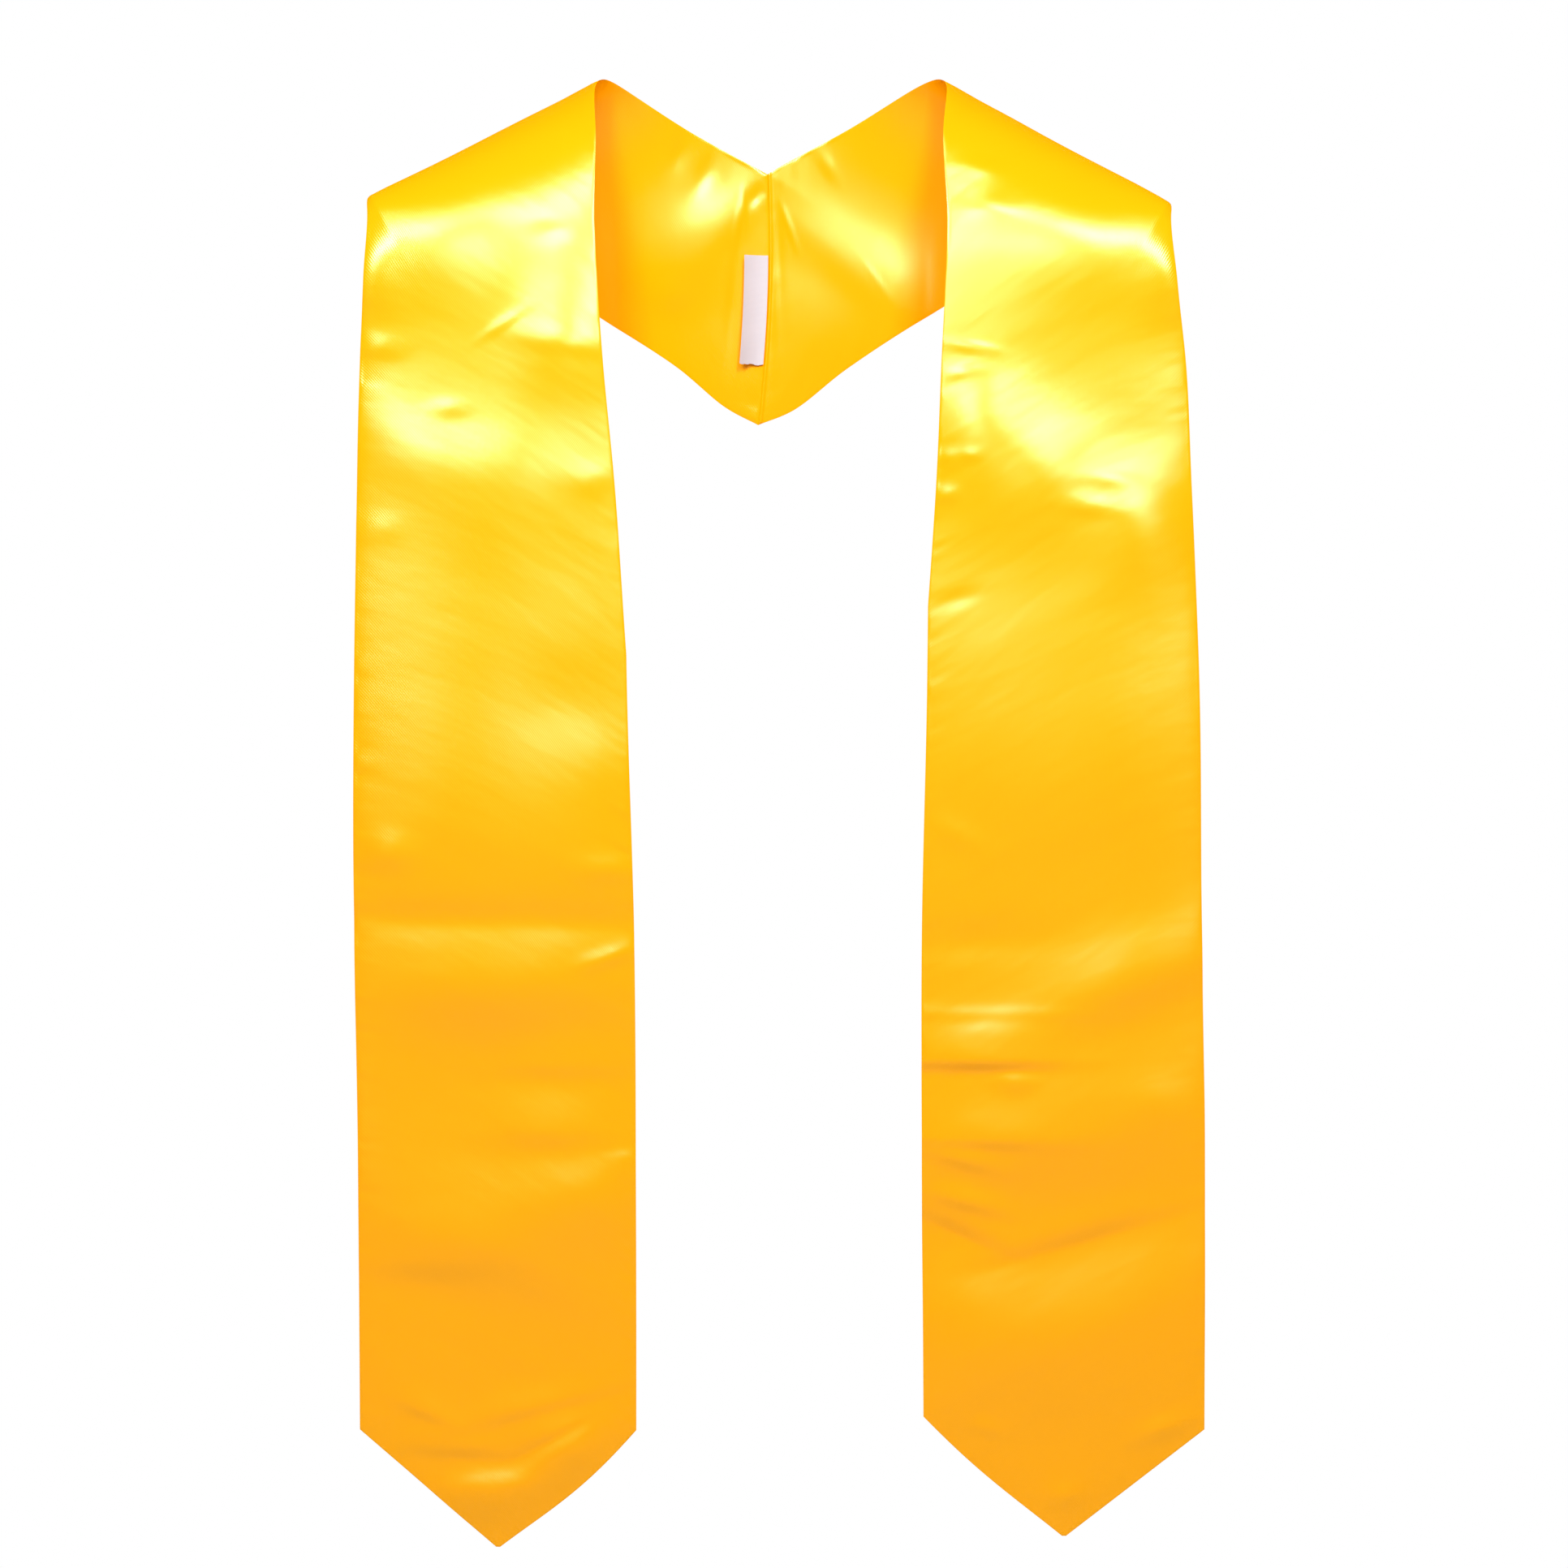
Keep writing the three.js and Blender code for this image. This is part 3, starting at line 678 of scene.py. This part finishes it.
# The label: a blank ribbon, its left edge free and lifted.
label = {
    "width": 11.4,
    "length": 53,
    "drop": 79.5,
    "rows": 61,
    "columns": 15,
    "gap": 0.25,
    "lining": 1.5,
    "lift": 4.5,
    "topLift": 0.7,
    "endLift": 0.5,
    "wave": 0.4,
    "waveCount": 5,
    "fray": 0.5,
    "frayCount": 9,
    "frayStart": 0.99,
    "seed": 71,
    "colour": (0.48, 0.455, 0.5),
    "roughness": 0.5,
    "ribs": 700,
    "ribDepth": 0.00004,
    "flat": (0.0114, 0.053),
}


def labelMaterial(name, look):
    material = bpy.data.materials.new(name)
    material.use_nodes = True
    tree = material.node_tree
    shader = tree.nodes["Principled BSDF"]
    shader.inputs["Base Color"].default_value = (*look["colour"], 1)
    shader.inputs["Roughness"].default_value = look["roughness"]
    place = tree.nodes.new("ShaderNodeUVMap")
    place.uv_map = "cloth"
    ribs = tree.nodes.new("ShaderNodeTexWave")
    ribs.bands_direction = "Y"
    ribs.inputs["Scale"].default_value = look["ribs"]
    link(tree, place, "UV", ribs, "Vector")
    link(tree, addBump(tree, ribs, look["ribDepth"]), "Normal", shader, "Normal")
    return material


def makeLabel(half, material):
    rows, columns = label["rows"], label["columns"]
    share = np.linspace(0, 1, columns)[None, :] + np.zeros((rows, 1))
    down = np.linspace(0, 1, rows)[:, None] + np.zeros((1, columns))
    fray = label["fray"] * ripple(share * label["frayCount"], label["seed"])
    fray = fray * (down > label["frayStart"])
    drop = label["drop"] + label["length"] * down + fray
    out = half["side"] * seamPlace(drop) + label["gap"] + share * label["width"]
    along, over = rolledFlat(half, out, drop, False)
    curl = label["lift"] * share**2 * (label["topLift"] + label["endLift"] * down)
    curl = curl + label["wave"] * ripple(down * label["waveCount"], label["seed"] + 1) * share
    depth = backDepth(half, along, np.abs(over), out, drop) - label["lining"] - curl
    place = np.stack([half["side"] * out, depth, -drop], axis=2)
    flatPlace = np.stack([share * label["width"], down * label["length"]], axis=2)
    return makeMesh("neckLabel", place, flatPlace, False, material)


neckLabel = makeLabel(rightHalf, labelMaterial("whiteRibbon", label))
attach(neckLabel, "root")
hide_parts("neck_label")
print("the label is done")

# A pale floor below the hanging stole, plain light, and the camera straight in front of it, in
# metres and watts.
studio = {
    "floorDrop": 0.78,
    "floorSize": 30,
    "floorColour": (0.8, 0.8, 0.8),
    "floorRoughness": 0.9,
    "world": 0.255,
    "worldColour": (1.0, 0.92, 0.8),
    "glossWorld": 0.02,
    "keyPower": 11,
    "keySize": (0.2, 0.3),
    "keyPlace": (0.3, -1.15, 0.68),
    "keyAim": (0.0, 0.0, -0.2),
    "fillPower": 4.6,
    "fillSize": (0.6, 0.3),
    "fillPlace": (0.0, -0.75, 0.2),
    "fillAim": (0.0, 0.0, -0.12),
    "rearPower": 22,
    "rearSize": (1.4, 0.8),
    "rearPlace": (0.0, 1.3, 0.8),
    "rearAim": (0.0, 0.0, -0.25),
    "cameraPlace": (0.006, -2.69, -0.3345),
    "sensorWidth": 36,
    "frameWidth": 1932,
    "focalPixels": 6961,
}


# The camera sees white, the gloss of the cloth a dim room, and all else the plain shader.
def splitBySight(tree, plain, glowKind, output):
    seen = tree.nodes.new("ShaderNodeLightPath")
    shown = plain
    for ray, strength in (("Is Glossy Ray", studio["glossWorld"]), ("Is Camera Ray", 1)):
        glow = tree.nodes.new(glowKind)
        glow.inputs["Color"].default_value = (1, 1, 1, 1)
        glow.inputs["Strength"].default_value = strength
        mix = tree.nodes.new("ShaderNodeMixShader")
        link(tree, seen, ray, mix, "Fac")
        tree.links.new(shown.outputs[0], mix.inputs[1])
        tree.links.new(glow.outputs[0], mix.inputs[2])
        shown = mix
    link(tree, shown, "Shader", tree.nodes[output], "Surface")


def floorMaterial(name, colour):
    material = bpy.data.materials.new(name)
    material.use_nodes = True
    tree = material.node_tree
    shader = tree.nodes["Principled BSDF"]
    shader.inputs["Base Color"].default_value = (*colour, 1)
    shader.inputs["Roughness"].default_value = studio["floorRoughness"]
    splitBySight(tree, shader, "ShaderNodeEmission", "Material Output")
    return material


def makeFloor():
    half = studio["floorSize"] / 2
    mesh = bpy.data.meshes.new("floor")
    corners = [(-half, -half), (half, -half), (half, half), (-half, half)]
    mesh.from_pydata([(x, y, -studio["floorDrop"]) for x, y in corners], [], [(0, 1, 2, 3)])
    mesh.materials.append(floorMaterial("paleFloor", studio["floorColour"]))
    floor = bpy.data.objects.new("floor", mesh)
    bpy.context.scene.collection.objects.link(floor)


def makeWorld():
    world = bpy.data.worlds.new("room")
    bpy.context.scene.world = world
    world.use_nodes = True
    tree = world.node_tree
    soft = tree.nodes["Background"]
    soft.inputs["Color"].default_value = (*studio["worldColour"], 1)
    soft.inputs["Strength"].default_value = studio["world"]
    splitBySight(tree, soft, "ShaderNodeBackground", "World Output")


def makeSoftbox(name, place, aim, size, power):
    light = bpy.data.lights.new(name, "AREA")
    light.shape = "RECTANGLE"
    light.size, light.size_y = size
    light.energy = power
    box = bpy.data.objects.new(name, light)
    box.location = place
    box.rotation_euler = (Vector(aim) - Vector(place)).to_track_quat("-Z", "Y").to_euler()
    bpy.context.scene.collection.objects.link(box)
    return box


def makeCamera():
    lens = bpy.data.cameras.new("camera")
    lens.sensor_width = studio["sensorWidth"]
    lens.lens = studio["sensorWidth"] * studio["focalPixels"] / studio["frameWidth"]
    camera = bpy.data.objects.new("camera", lens)
    camera.location = studio["cameraPlace"]
    camera.rotation_euler = (math.radians(90), 0, 0)
    bpy.context.scene.collection.objects.link(camera)
    bpy.context.scene.camera = camera


makeFloor()
makeWorld()
keyOut, keyNear, keyUp = studio["keyPlace"]
for name, side in (("rightKey", -1), ("leftKey", 1)):
    place = (side * keyOut, keyNear, keyUp)
    makeSoftbox(name, place, studio["keyAim"], studio["keySize"], studio["keyPower"])
for name in ("fill", "rear"):
    place, aim = studio[name + "Place"], studio[name + "Aim"]
    box = makeSoftbox(name, place, aim, studio[name + "Size"], studio[name + "Power"])
    box.visible_glossy = False  # they light the cloth without showing in its gloss
makeCamera()
bpy.context.scene.view_settings.view_transform = "Standard"
print("the studio is done")
